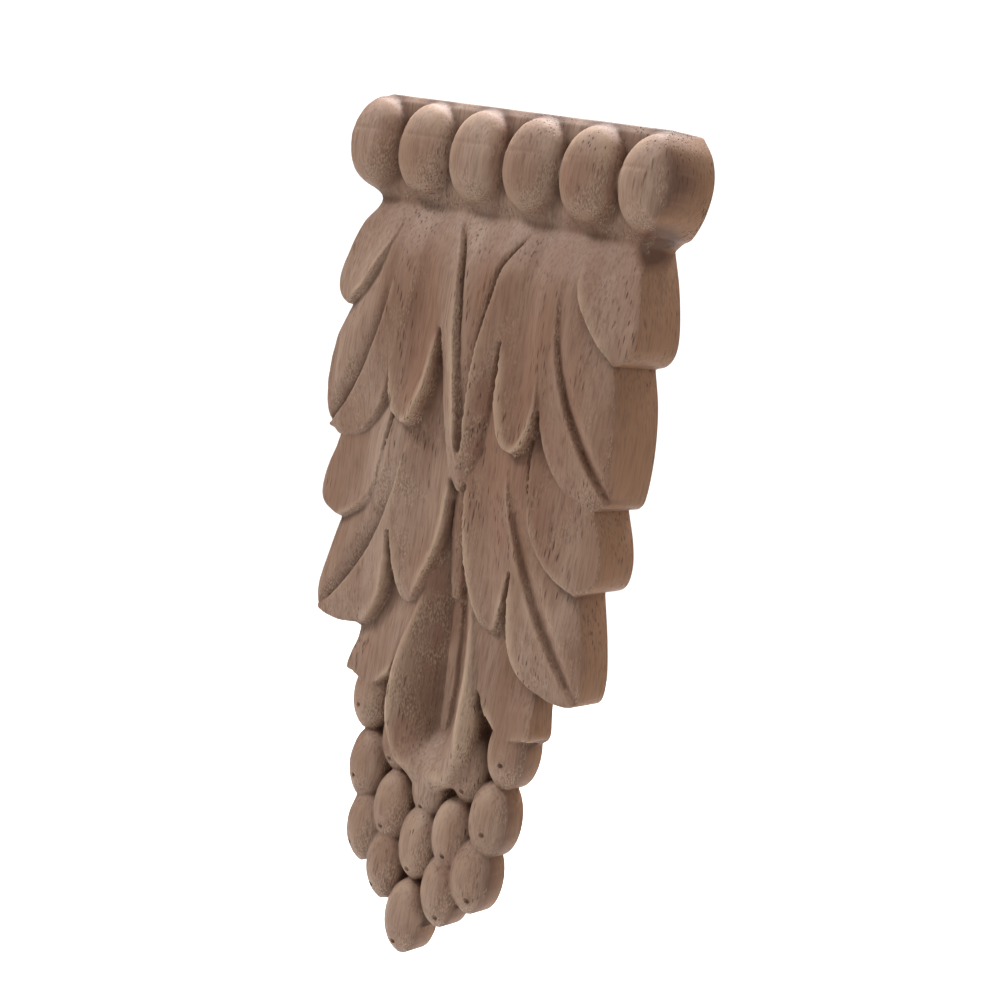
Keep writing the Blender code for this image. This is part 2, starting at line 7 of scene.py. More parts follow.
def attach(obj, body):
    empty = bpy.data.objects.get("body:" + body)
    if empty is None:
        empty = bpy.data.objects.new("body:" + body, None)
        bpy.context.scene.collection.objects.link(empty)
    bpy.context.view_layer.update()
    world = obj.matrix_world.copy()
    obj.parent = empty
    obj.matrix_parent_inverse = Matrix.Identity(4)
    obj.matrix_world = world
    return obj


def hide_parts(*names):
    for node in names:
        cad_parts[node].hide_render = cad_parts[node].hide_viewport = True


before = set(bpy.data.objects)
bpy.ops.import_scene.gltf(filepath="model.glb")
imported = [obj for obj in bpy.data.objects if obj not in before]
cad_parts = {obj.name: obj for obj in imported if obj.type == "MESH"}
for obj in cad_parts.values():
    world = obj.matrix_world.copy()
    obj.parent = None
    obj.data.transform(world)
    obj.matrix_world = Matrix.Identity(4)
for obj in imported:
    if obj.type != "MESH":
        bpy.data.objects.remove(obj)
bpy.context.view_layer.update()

# The egg rail. The onlay is one piece of rubberwood, glued up from staves, and a router cuts its whole
# face from the front in fine passes down the grain. Here at the top it leaves six eggs over a hollow neck.
# Places are (across from the middle line, up from the foot, height above the back) in millimetres.
NECK_UP = 172.8
NECK_OVERLAP = 0.3
EGGS = 6
EGG_PITCH = 15.8
EGG_HALF_WIDTH = 8.3
EGG_HALF_HEIGHT = 10.4
EGG_UP = 185.5
EGG_FOOT = 12.2
EGG_RISE = 6.2
EGG_FULLNESS = 0.42
PROFILE_STEPS = 60
RAIL_PROFILE = [(172.0, 11.6), (173.2, 11.3), (174.4, 12.3), (176.4, 13.1), (180.0, 13.1), (185.0, 12.6),
                (190.0, 12.3), (194.6, 12.3), (195.6, 12.1), (197.2, 10.4)]

# The right end of the rail is rounded over towards the outline.
RAIL_ROUND_FROM = 38.8
RAIL_ROUND_REACH = 6.6
RAIL_ROUND_DROP = 8.4


def spline(points, count):
    """A smooth curve through the points, or a smooth sheet through a stack of like curves."""
    points = np.asarray(points, float)
    before = 2 * points[0] - points[1]
    after = 2 * points[-1] - points[-2]
    held = np.concatenate([[before], points, [after]])
    place = np.linspace(0, len(points) - 1, count)
    span = np.minimum(place.astype(int), len(points) - 2)
    t = (place - span).reshape((-1,) + (1,) * (points.ndim - 1))
    a, b, c, d = (held[span + k] for k in range(4))
    curved = (2 * a - 5 * b + 4 * c - d) * t**2 + (3 * b - a - 3 * c + d) * t**3
    return 0.5 * (2 * b + (c - a) * t + curved)


def dome(across, up, middle, half_width, half_height, foot, rise, fullness=0.5):
    """The heights of an egg or a grape: an ellipsoid, or below 0.5 a fuller one with a flatter top."""
    room = 1 - ((across - middle[0]) / half_width) ** 2 - ((up - middle[1]) / half_height) ** 2
    return np.where(room > 0, foot + rise * np.maximum(room, 0) ** fullness, 0)


def rail_height(across, up):
    """The height of the rail, and 0 below it."""
    right_end = np.clip((across - RAIL_ROUND_FROM) / RAIL_ROUND_REACH, 0, 1)
    rounded = EGG_FOOT + EGG_RISE - RAIL_ROUND_DROP * (1 - np.sqrt(1 - right_end**2))
    across = np.abs(across)
    ground = np.interp(up, *spline(RAIL_PROFILE, PROFILE_STEPS).T)
    height = np.where(up >= NECK_UP - NECK_OVERLAP, ground, 0)
    for number in range(EGGS // 2):
        middle = ((number + 0.5) * EGG_PITCH, EGG_UP)
        egg = dome(across, up, middle, EGG_HALF_WIDTH, EGG_HALF_HEIGHT, EGG_FOOT, EGG_RISE, EGG_FULLNESS)
        height = np.maximum(height, np.where(up >= NECK_UP, egg, 0))
    return np.minimum(height, rounded)


# The upper leaf, cut from the same wood below the neck. It parts into a tongue, a finger and a band on
# each side of the middle, which end free, and into two lobes outside a sharp quirk. The values are the
# edges of the cuts, for the right half, and each surface is stretched between edges that run side by side.
LOFT_ALONG = 80
LOFT_BETWEEN = 25
STEM = [(0.0, 172.8, 12.4), (0.0, 164.5, 16.0), (0.0, 157.0, 17.0), (0.0, 149.0, 17.2),
        (0.0, 140.0, 16.2), (0.0, 130.0, 14.4), (0.0, 122.5, 13.4), (0.0, 119.6, 14.0),
        (0.0, 116.0, 12.0)]
STEM_CREST = [(9.2, 172.8, 12.4), (5.0, 164.5, 16.0), (3.3, 157.0, 16.9), (2.2, 149.0, 16.9),
              (1.4, 140.0, 15.9), (0.7, 130.0, 14.2), (0.5, 122.5, 13.2), (0.1, 119.6, 13.8),
              (0.1, 116.0, 12.0)]
V_EDGE = [(11.2, 172.8, 12.6), (6.6, 164.5, 16.5), (4.9, 157.0, 17.6), (3.6, 149.0, 18.2),
          (2.3, 140.0, 17.7), (1.3, 130.0, 16.5), (0.9, 122.5, 15.3), (0.0, 119.6, 14.6),
          (0.0, 111.8, 12.2)]
V_DEPTHS = [1.4, 2.6, 2.6, 2.7, 2.5, 2.4, 2.2, 0.8, 0.4]
RIB_TOP = [(14.0, 172.6, 12.5), (11.6, 163.0, 16.4), (9.6, 155.5, 16.9)]
SLOT_1_IN = [(9.0, 148.5, 16.8), (7.8, 139.5, 15.2), (6.4, 130.0, 14.2), (4.2, 120.0, 13.2),
             (2.2, 114.6, 12.5), (0.0, 111.8, 12.2)]
SLOT_1_OUT = [(9.0, 148.5, 16.8), (9.6, 141.0, 17.2), (10.2, 134.5, 17.8), (12.2, 128.4, 17.8),
              (14.2, 125.2, 17.4), (16.6, 124.2, 16.8)]
FINGER_1_GOUGE = [(16.5, 172.8, 12.4), (15.0, 162.5, 15.8), (14.8, 154.0, 15.8), (15.6, 146.0, 15.8),
                  (16.4, 139.0, 15.9), (16.8, 132.7, 16.2), (16.8, 128.0, 16.6), (16.6, 124.2, 16.8)]
FOLD_TOP = [(19.0, 172.6, 12.5), (18.2, 162.0, 16.9), (19.0, 152.0, 17.5)]
FINGER_1_OUT = [(21.0, 143.5, 17.4), (21.8, 137.0, 17.6), (21.4, 131.5, 17.6), (19.6, 126.6, 17.4),
                (16.6, 124.2, 16.8)]
BAND_2_IN = [(21.0, 143.5, 17.4), (21.9, 135.5, 16.4), (24.4, 127.4, 15.6), (28.4, 121.4, 14.6),
             (33.0, 118.4, 13.4), (38.6, 117.2, 12.6)]
QUIRK_2 = [(24.5, 172.6, 12.5), (23.7, 163.5, 16.7), (24.4, 154.5, 18.1), (26.0, 146.5, 18.3),
           (28.6, 139.0, 17.6), (31.8, 132.5, 16.4), (35.6, 126.6, 15.4), (39.4, 121.9, 14.4),
           (42.3, 118.9, 13.4)]
LOBE_1_CREST = [(27.0, 172.6, 12.4), (26.8, 167.0, 15.8), (27.8, 162.5, 18.0), (29.4, 159.3, 18.8),
                (31.4, 156.2, 18.6), (33.2, 153.6, 18.0), (35.6, 151.1, 17.8), (39.1, 147.9, 16.2)]
LOBE_1_GOUGE = [(34.0, 172.6, 12.2), (34.6, 168.0, 13.4), (35.4, 164.0, 14.6), (36.2, 160.5, 15.4),
                (37.0, 157.0, 16.0), (37.8, 154.0, 16.3), (38.6, 151.2, 16.4), (39.2, 147.9, 16.0)]
LOBE_1_RIM = [(38.4, 172.8, 12.2), (41.3, 165.2, 14.0), (42.9, 159.0, 15.0), (43.6, 153.0, 15.8),
              (42.6, 149.8, 15.8), (39.1, 147.6, 15.9)]
QUIRK_2_DEPTHS = [0.0, 0.2, 1.0, 1.7, 2.0, 2.2, 2.2, 2.0, 1.4]
LOBE_2_CROWN = [(26.0, 172.6, 12.4), (26.6, 163.5, 16.8), (27.6, 155.6, 17.7), (29.6, 148.0, 18.0),
                (32.4, 140.8, 17.8), (35.4, 134.4, 17.2), (38.6, 128.4, 16.0), (41.0, 123.2, 14.2),
                (42.6, 119.4, 12.2)]
LOBE_2_RIM = [(28.6, 172.6, 12.2), (29.0, 163.5, 16.2), (33.0, 154.5, 16.0), (38.9, 147.7, 14.8),
              (41.6, 140.0, 15.6), (42.8, 132.0, 15.4), (42.9, 126.0, 14.8), (42.8, 121.6, 13.6),
              (42.7, 119.4, 12.2)]


def loft(*edges):
    """A surface through edges that run side by side, as a grid of points."""
    return spline(np.stack([spline(edge, LOFT_ALONG) for edge in edges]), LOFT_BETWEEN)


def lowered(edge, depths):
    """The edge as it runs at the bottom of the cut beside it."""
    return [(x, up, height - depth) for (x, up, height), depth in zip(edge, depths)]


upper_leaf = [
    loft(STEM, STEM_CREST, lowered(V_EDGE, V_DEPTHS)),
    loft(V_EDGE, RIB_TOP + SLOT_1_IN),
    loft(RIB_TOP + SLOT_1_OUT, FINGER_1_GOUGE, FOLD_TOP + FINGER_1_OUT),
    loft(FOLD_TOP + BAND_2_IN, QUIRK_2),
    loft(LOBE_1_CREST, LOBE_1_GOUGE, LOBE_1_RIM),
    loft(lowered(QUIRK_2, QUIRK_2_DEPTHS), LOBE_2_CROWN, LOBE_2_RIM)]

# The lower leaf, of the same wood, comes out from under the upper one and nearer the back. It parts in the
# same way, and a narrow rib runs down its middle.
LOBE_3_CREST = [(20.6, 136.0, 12.6), (21.0, 129.0, 14.4), (21.4, 122.0, 15.2), (22.6, 114.0, 15.0),
                (24.4, 107.5, 14.4), (28.0, 102.6, 14.0), (32.2, 99.6, 13.2), (36.4, 97.7, 12.0)]
LOBE_3_GOUGE = [(26.0, 134.0, 11.0), (28.0, 127.0, 12.6), (30.0, 120.0, 13.2), (31.6, 114.0, 12.8),
                (33.4, 107.5, 12.2), (35.2, 102.5, 12.4), (36.0, 99.6, 12.4), (36.6, 97.8, 12.0)]
LOBE_3_RIM = [(32.0, 130.0, 10.5), (35.6, 124.0, 11.8), (38.6, 118.0, 12.4), (40.4, 113.0, 11.9),
              (42.5, 106.0, 11.9), (42.2, 102.0, 12.2), (40.4, 99.2, 12.2), (36.8, 97.7, 12.0)]
JOIN_TOP = [(14.4, 134.0, 11.6), (15.0, 124.0, 14.0), (15.8, 114.0, 14.2), (17.4, 106.5, 13.3)]
FINGER_2_IN = [(4.6, 134.0, 10.6), (4.0, 124.0, 12.2), (2.4, 115.0, 12.6), (2.4, 107.5, 12.4),
               (3.4, 101.0, 12.0), (5.2, 95.0, 11.8), (7.6, 89.5, 11.4), (9.4, 86.2, 10.6),
               (11.0, 83.8, 9.6), (12.8, 82.9, 8.8)]
FINGER_2_GOUGE = [(9.0, 134.0, 10.8), (9.0, 124.0, 12.4), (8.6, 114.5, 12.0), (9.2, 106.5, 11.3),
                  (10.4, 99.5, 10.9), (11.8, 94.0, 10.7), (12.8, 89.0, 10.3), (13.0, 85.2, 9.6),
                  (12.8, 82.9, 8.8)]
SLOT_2_IN = [(18.8, 100.2, 12.6), (18.0, 94.5, 12.0), (16.8, 89.0, 11.0), (15.4, 85.0, 9.8),
             (14.2, 83.4, 9.2), (12.8, 82.9, 8.8)]
BAND_4_IN = [(18.8, 100.2, 12.6), (18.8, 90.0, 11.9), (20.0, 82.5, 11.0), (22.8, 77.0, 10.2),
             (27.4, 73.4, 9.0), (34.0, 72.4, 9.2), (40.0, 73.7, 9.8)]
QUIRK_4 = [(13.6, 134.0, 11.8), (14.4, 124.0, 14.4), (16.4, 115.5, 15.0), (18.3, 108.5, 13.9),
           (20.8, 102.0, 13.0), (23.6, 95.8, 12.2), (26.8, 90.2, 11.7), (30.2, 85.2, 11.3),
           (33.8, 80.6, 10.9), (37.2, 77.0, 10.5), (40.4, 74.2, 10.0)]
QUIRK_4_DEPTHS = [0.2, 0.6, 1.2, 1.5, 1.8, 2.0, 2.2, 2.3, 2.1, 1.7, 0.8]
LOBE_4_CROWN = [(16.6, 134.0, 11.6), (17.6, 124.0, 14.4), (19.4, 117.0, 14.6), (21.4, 110.6, 13.8),
                (24.4, 103.6, 12.9), (28.6, 97.6, 12.3), (31.2, 93.0, 11.9), (34.6, 86.6, 11.3),
                (37.8, 80.6, 10.4), (40.8, 74.8, 9.2)]
LOBE_4_RIM = [(20.0, 134.0, 12.0), (20.8, 124.0, 14.6), (22.4, 115.0, 14.6), (24.6, 107.4, 13.8),
              (29.4, 102.0, 12.0), (36.4, 98.2, 9.8), (38.2, 92.0, 9.6), (40.0, 85.0, 9.6),
              (41.2, 79.0, 9.6), (40.9, 75.2, 9.2)]
STEM_LOW = [(0.0, 118.0, 9.6), (0.0, 112.0, 10.6), (0.0, 104.0, 10.0), (0.0, 95.0, 8.2),
            (0.0, 86.6, 6.4)]
STEM_LOW_SIDE = [(1.8, 118.0, 9.2), (1.9, 112.0, 10.2), (2.0, 104.0, 9.7), (1.9, 95.0, 8.0),
                 (1.6, 86.6, 6.4)]
lower_leaf = [
    loft(LOBE_3_CREST, LOBE_3_GOUGE, LOBE_3_RIM),
    loft(FINGER_2_IN, FINGER_2_GOUGE, JOIN_TOP + SLOT_2_IN),
    loft(JOIN_TOP + BAND_4_IN, QUIRK_4),
    loft(lowered(QUIRK_4, QUIRK_4_DEPTHS), LOBE_4_CROWN, LOBE_4_RIM),
    loft(STEM_LOW, STEM_LOW_SIDE)]

# The lowest lobes, and the leaf in the middle. It is scooped out between them with a round-nosed cutter,
# which leaves a thin rib down its middle, and its end curls up over the grapes.
LOBE_5_CREST = [(4.0, 108.0, 7.6), (5.0, 97.0, 8.8), (6.6, 91.0, 9.0), (8.6, 84.6, 8.9),
                (10.8, 77.0, 9.0), (12.8, 69.5, 9.0), (15.0, 64.1, 8.6)]
LOBE_5_GOUGE = [(12.0, 108.0, 6.0), (12.4, 97.0, 7.4), (13.4, 91.0, 7.6), (14.8, 84.6, 7.8),
                (16.6, 77.0, 8.2), (18.6, 69.5, 8.4), (20.4, 60.6, 8.4)]
LOBE_5_RIM = [(21.0, 100.0, 5.4), (23.0, 92.0, 6.4), (25.4, 84.0, 6.8), (27.4, 74.6, 6.8),
              (28.4, 69.0, 7.0), (29.0, 65.5, 8.0), (28.4, 61.6, 8.6)]
VEIN = [(0.0, 112.0, 7.6), (0.0, 100.0, 7.6), (0.0, 92.0, 5.8), (0.0, 84.0, 4.3), (0.0, 76.0, 3.3),
        (0.0, 68.0, 2.8), (0.0, 60.0, 2.6), (0.0, 54.6, 2.9), (0.0, 49.4, 6.4), (0.0, 45.4, 8.2)]
VEIN_BED = [(1.6, 112.0, 7.6), (1.6, 100.0, 7.6), (1.9, 92.0, 5.9), (2.2, 84.0, 4.4), (2.5, 76.0, 3.4),
            (2.6, 68.0, 2.9), (2.6, 60.0, 2.8), (2.5, 54.6, 3.4), (2.4, 49.4, 6.7), (2.2, 45.4, 8.6)]
VEIN_RIB = [(0.0, 92.0, 5.9), (0.0, 84.0, 5.2), (0.0, 77.0, 4.3), (0.0, 70.0, 3.9), (0.0, 63.5, 3.6),
            (0.0, 57.0, 3.4), (0.0, 54.2, 3.0)]
VEIN_RIB_SIDE = [(1.4, 92.0, 5.7), (1.5, 84.0, 5.0), (1.6, 77.0, 4.1), (1.6, 70.0, 3.7), (1.5, 63.5, 3.4),
                 (1.2, 57.0, 3.2), (0.5, 54.4, 2.9)]
LEAF_HOLLOW = [(3.0, 112.0, 7.8), (3.0, 100.0, 8.0), (3.4, 92.0, 7.0), (4.2, 84.0, 6.2),
               (5.2, 76.0, 5.8), (5.8, 68.5, 6.0), (6.0, 61.0, 6.4), (5.6, 55.0, 7.0), (5.2, 49.4, 8.2),
               (4.6, 45.4, 9.2)]
LEAF_CREST = [(4.6, 112.0, 7.8), (5.0, 100.0, 8.2), (6.2, 92.0, 8.8), (7.8, 84.0, 9.4),
              (9.4, 76.0, 10.4), (10.4, 68.5, 11.4), (10.6, 61.0, 11.8), (10.6, 55.0, 11.2),
              (9.8, 49.8, 10.0), (8.2, 45.4, 8.8)]
LEAF_RIM = [(5.6, 112.0, 7.4), (6.0, 100.0, 8.0), (7.2, 92.0, 8.4), (9.2, 84.5, 8.6), (11.4, 77.0, 8.8),
            (12.8, 69.5, 9.4), (13.0, 61.0, 10.0), (13.0, 55.0, 9.2), (12.4, 49.6, 7.6),
            (10.0, 45.2, 6.8)]
LEAF_TURN = [(10.0, 45.2, 6.8), (8.2, 45.4, 8.8), (4.6, 45.4, 9.2), (2.4, 45.4, 8.7), (0.0, 45.4, 8.2)]
LEAF_TIPS = [(9.0, 44.0, 6.4), (6.6, 43.0, 6.4), (4.6, 41.6, 6.4), (2.4, 40.4, 6.8), (0.0, 40.0, 7.0)]
lowest_leaves = [
    loft(LOBE_5_CREST, LOBE_5_GOUGE, LOBE_5_RIM),
    loft(VEIN, VEIN_BED, LEAF_HOLLOW, LEAF_CREST, LEAF_RIM),
    loft(VEIN_RIB, VEIN_RIB_SIDE),
    loft(LEAF_TURN, LEAF_TIPS)]

# The ground that the cutter leaves at the bottom of the slots and the quirks, and under the free ends where
# the leaves lie over each other.
BED_IN = [(0.0, 172.0, 9.0), (0.0, 150.0, 13.0), (0.0, 130.0, 12.6), (1.0, 112.0, 9.4),
          (4.0, 100.0, 7.6), (10.0, 86.0, 6.4), (12.4, 70.0, 6.2), (12.4, 60.0, 2.0)]
BED_MIDDLE = [(16.0, 172.0, 11.0), (16.0, 150.0, 14.0), (16.0, 130.0, 13.8), (16.0, 118.0, 12.6),
              (17.0, 106.0, 10.0), (20.0, 88.0, 7.2), (22.0, 72.0, 6.6), (21.0, 60.0, 2.0)]
BED_OUT = [(46.0, 172.0, 11.0), (46.0, 150.0, 13.6), (46.0, 132.0, 12.0), (46.0, 119.0, 11.4),
           (46.0, 106.0, 9.4), (46.0, 88.0, 9.0), (46.0, 70.0, 8.4), (30.0, 60.0, 2.0)]
bed = [loft(BED_IN, BED_MIDDLE, BED_OUT)]


def drape(grid, across, up, height):
    """Raises the heights at the given places to a surface's, where it covers them."""
    corners = [grid[:-1, :-1], grid[1:, :-1], grid[1:, 1:], grid[:-1, 1:]]
    a, b, c, d = (part.reshape(-1, 3) for part in corners)
    triangles = np.concatenate([np.stack([a, b, c], 1), np.stack([a, c, d], 1)])
    order = np.argsort(across)
    sorted_across = across[order]
    slack = 0.02
    for p, q, r in triangles:
        double_area = (q[0] - p[0]) * (r[1] - p[1]) - (q[1] - p[1]) * (r[0] - p[0])
        if abs(double_area) < 1e-6:
            continue
        ends = (min(p[0], q[0], r[0]) - slack, max(p[0], q[0], r[0]) + slack)
        low, high = np.searchsorted(sorted_across, ends)
        some = order[low:high]
        some = some[(up[some] > min(p[1], q[1], r[1]) - slack) & (up[some] < max(p[1], q[1], r[1]) + slack)]
        x, y = across[some], up[some]
        v = ((x - p[0]) * (r[1] - p[1]) - (y - p[1]) * (r[0] - p[0])) / double_area
        w = ((q[0] - p[0]) * (y - p[1]) - (q[1] - p[1]) * (x - p[0])) / double_area
        edge = slack / np.sqrt(abs(double_area))
        inside = (v > -edge) & (w > -edge) & (v + w < 1 + edge)
        z = p[2] + v * (q[2] - p[2]) + w * (r[2] - p[2])
        height[some[inside]] = np.maximum(height[some[inside]], z[inside])


# The bunch of grapes at the foot, cut from the same wood as staggered rows of egg shapes. The point of the
# cutter leaves a small hole at the tip of each grape, and one or two curved nicks round it.
GRAPE_HALF_WIDTH = 5.7
GRAPE_HALF_HEIGHT = 9.2
GRAPE_RISE = 5.0
GRAPE_GROUND = 2.4
OUTER_GRAPES = [(21.6, 57.3, 3.8), (19.6, 40.2, 3.8), (17.2, 25.7, 3.8), (9.1, 19.2, 3.8),
                (0.0, 9.2, 4.6)]
INNER_GRAPES = [(0.0, 27.4, 3.8), (9.6, 33.0, 3.8), (0.0, 42.2, 2.6), (11.2, 50.2, 3.0)]
GRAPE_NOTCHES = [(27.0, 60.2), (22.4, 48.8), (21.4, 31.6), (16.0, 17.4), (7.4, 9.6), (0.0, 0.0)]
GRAPE_TIPS = [(10.5, 13.3), (19.2, 20.9), (0.0, 21.3), (10.2, 28.3), (20.7, 37.4), (0.0, 36.5),
              (11.7, 44.5), (22.6, 54.5), (0.0, 3.3)]
TIP_HOLE_RADIUS = 0.6
TIP_HOLE_DEPTH = 0.9
NICK_RADII = (1.55, 2.35)
NICK_SPANS = (1.1, 0.7)
NICK_ENDS_FADE = 4
MOST_NICK_TURN = 0.7
NICK_HALF_WIDTH = 0.3
NICK_DEPTH = 0.13


def relief_height(across, up):
    """The height above the back at each place of the face."""
    rail = rail_height(across, up)
    across = np.abs(across)
    height = np.full(len(across), GRAPE_GROUND)
    for x, y, foot in OUTER_GRAPES + INNER_GRAPES:
        grape = dome(across, up, (x, y), GRAPE_HALF_WIDTH, GRAPE_HALF_HEIGHT, foot, GRAPE_RISE)
        height = np.maximum(height, grape)
    for grid in bed + upper_leaf + lower_leaf + lowest_leaves:
        drape(grid, across, up, height)
    return np.maximum(height, rail)


def tip_marks():
    """The places of all holes, with the turn of the nicks round each."""
    places = [(side * x, y) for x, y in GRAPE_TIPS for side in ((1, -1) if x else (1,))]
    turns = np.random.default_rng(3).uniform(-MOST_NICK_TURN, MOST_NICK_TURN, len(places))
    return [(x, y, turn) for (x, y), turn in zip(places, turns)]


def tip_depth(across, up):
    """How much the holes and nicks take away at each place."""
    depth = np.zeros(len(across))
    for x, y, turn in tip_marks():
        reach = np.hypot(across - x, up - y)
        hole = np.clip(1 - (reach / TIP_HOLE_RADIUS) ** 2, 0, 1) ** 0.5
        depth = np.maximum(depth, TIP_HOLE_DEPTH * hole)
        way = np.arctan2(across - x, up - y) - turn
        for radius, span in zip(NICK_RADII, NICK_SPANS):
            cut = np.clip(1 - np.abs(reach - radius) / NICK_HALF_WIDTH, 0, 1)
            faded = np.clip((span - np.abs(way)) * NICK_ENDS_FADE, 0, 1)
            depth = np.maximum(depth, NICK_DEPTH * cut * faded)
    return depth


# The outline, followed last with an upright cutter, so that the sides stand square to the flat back, which
# is glued to a cabinet or a chimney piece. There is one row of places for each bulge between two notches,
# for the right half, from the top corner down.
TALL = 196.8
CURVE_STEP = 0.8
GRAPE_MEAN_RADIUS = 7.5
RAIL_END = [(40.2, TALL), (43.6, 192.6), (45.1, 187.2), (44.4, 181.0), (42.2, 176.0), (40.2, 174.6),
            (38.4, 172.8)]
LOBE_1_END = [(38.4, 172.8), (41.2, 165.2), (43.2, 157.0), (43.4, 152.0), (41.8, 149.0), (38.9, 147.7)]
LOBE_2_END = [(38.9, 147.7), (41.4, 139.5), (42.7, 130.0), (42.6, 121.0), (41.4, 118.0), (38.6, 117.0)]
LOBE_3_END = [(38.6, 117.0), (41.4, 110.0), (42.4, 104.5), (41.2, 100.2), (36.4, 97.9)]
LOBE_4_END = [(36.4, 97.9), (39.4, 87.5), (41.0, 79.0), (40.0, 73.9), (34.0, 72.6), (27.4, 73.6)]
LOBE_5_END = [(27.4, 73.6), (28.2, 67.0), (28.8, 63.4), (28.4, 61.4), (27.0, 60.2)]


def grape_outline():
    """The outer edge of the bunch, from the lowest lobe to the foot, along one grape after another."""
    points = []
    for number, (x, y, _) in enumerate(OUTER_GRAPES):
        start, end = (np.arctan2((b - y) / GRAPE_HALF_HEIGHT, (a - x) / GRAPE_HALF_WIDTH)
                      for a, b in GRAPE_NOTCHES[number:number + 2])
        turns = np.linspace(start, end, max(4, round((start - end) * GRAPE_MEAN_RADIUS / CURVE_STEP)))
        points += [(x + GRAPE_HALF_WIDTH * np.cos(turn), y + GRAPE_HALF_HEIGHT * np.sin(turn))
                   for turn in turns[1:-1]]
        points.append(GRAPE_NOTCHES[number + 1])
    return points


def outline():
    """The whole outline, once round against the clock, as places on the face."""
    right = []
    for bulge in (RAIL_END, LOBE_1_END, LOBE_2_END, LOBE_3_END, LOBE_4_END, LOBE_5_END):
        length = np.hypot(*np.diff(bulge, axis=0).T).sum()
        right += [tuple(point) for point in spline(bulge, max(5, round(length / CURVE_STEP)))[:-1]]
    right += [LOBE_5_END[-1]] + grape_outline()
    left = [(-x, y) for x, y in reversed(right) if x > 0.01]
    corner = RAIL_END[0][0]
    top = [(x, TALL) for x in np.linspace(-corner, corner, round(2 * corner / CURVE_STEP))]
    return np.array(right + left + top[1:-1])[::-1]


def beside(line, gap):
    """The line moved to its right by the gap, or to its left by a negative one."""
    way = np.gradient(line[:, :2], axis=0)
    way /= np.linalg.norm(way, axis=1, keepdims=True)
    moved = line.copy()
    moved[:, :2] += gap * np.stack([way[:, 1], -way[:, 0]], 1)
    return moved


def inside(places, ring):
    """Which places lie within the ring."""
    found = np.zeros(len(places), bool)
    x, y = places[:, 0], places[:, 1]
    for (ax, ay), (bx, by) in zip(ring, np.roll(ring, -1, 0)):
        if ay != by:
            found ^= ((ay > y) != (by > y)) & (x < ax + (bx - ax) * (y - ay) / (by - ay))
    return found


# The whole onlay as one fine mesh. The cutter's round nose and the soft fibres leave no edge quite sharp,
# so the heights are softened on a fine grid first. The faces bob a little where the cutter chattered, and a
# faint line crosses the eggs where one pass of the cutter met the next.
MM = 0.001
HALF_TALL = TALL / 2
GRID = 0.25
GRID_HALF_WIDTH = 48
GRID_MARGIN = 3
EDGE_LEFT_OUT = 0.3
LEAST_WEIGHT = 1e-4
SOFTENED = 0.19
HOLLOW_REACH = 1.7
NECK_EASE = 1.1
NECK_EASE_REACH = 3.2
PASS_LINE_UP = 188.2
PASS_LINE_DEPTH = 0.12
PASS_LINE_WIDTH = 0.35
PASS_LINE_FADE = 3
SHARP_FROM = 62

# The chatter's waves, each with its reach and its height.
CHATTER = [(0.8, 0.035), (3.0, 0.09)]

# The softened edge along the outline: how far in from it, and how far down, each row of points lies.
RIM_STEPS = [(0.0, 0.5), (0.14, 0.24), (0.4, 0.07), (0.75, 0.0)]

# The points of the mesh lie in even rows, on rings round the grapes' tips, and on lines along the edges
# where the carving drops to a lower piece of leaf.
CELL = 0.44
CELLS_HALF_WIDTH = 46
ROW_PER_CELL = 0.87
TIP_RINGS = (0.0, 0.3, 0.52, 0.72, 1.25, 1.55, 1.85, 2.15, 2.4, 2.65)
TIP_RING_POINTS = 14
TIP_RING_TO_RIM = 0.25
STEP = 0.6
LINE_GAPS = (-0.6, -0.28, 0.0, 0.28, 0.6)
LINE_TO_RIM = 0.5
LINE_TO_OUTLINE = 0.9
LINE_TO_MIDDLE = 0.12
LEAST_DROP = 0.35
COVERED_BY = 0.6
LOBE_5_LOW = [LOBE_5_CREST[-1], LOBE_5_GOUGE[-1], LOBE_5_RIM[-1]]
DROPS = [V_EDGE, SLOT_1_IN, SLOT_1_OUT, FINGER_1_OUT, BAND_2_IN, QUIRK_2, LOBE_1_CREST, LOBE_3_CREST,
         FINGER_2_IN, SLOT_2_IN, BAND_4_IN, QUIRK_4, LOBE_5_LOW, VEIN_RIB_SIDE, LEAF_RIM, LEAF_TIPS]


def softened(field, reach):
    """The field blurred evenly, by a reach in millimetres."""
    cells = reach / GRID
    steps = np.arange(-int(np.ceil(3 * cells)), int(np.ceil(3 * cells)) + 1)
    weights = np.exp(-0.5 * (steps / cells) ** 2)
    weights /= weights.sum()
    for axis in (0, 1):
        field = sum(weight * np.roll(field, step, axis) for weight, step in zip(weights, steps))
    return field


def resampled(ring, step):
    """The closed ring with places at even steps along it."""
    closed = np.concatenate([ring, ring[:1]])
    along = np.concatenate([[0], np.cumsum(np.hypot(*np.diff(closed, axis=0).T))])
    marks = np.linspace(0, along[-1], round(along[-1] / step), endpoint=False)
    return np.stack([np.interp(marks, along, closed[:, 0]), np.interp(marks, along, closed[:, 1])], 1)


def moved_in(ring, gap):
    """The closed ring moved towards the wood by the gap."""
    return beside(np.concatenate([ring[-1:], ring, ring[:1]]), -gap)[1:-1]


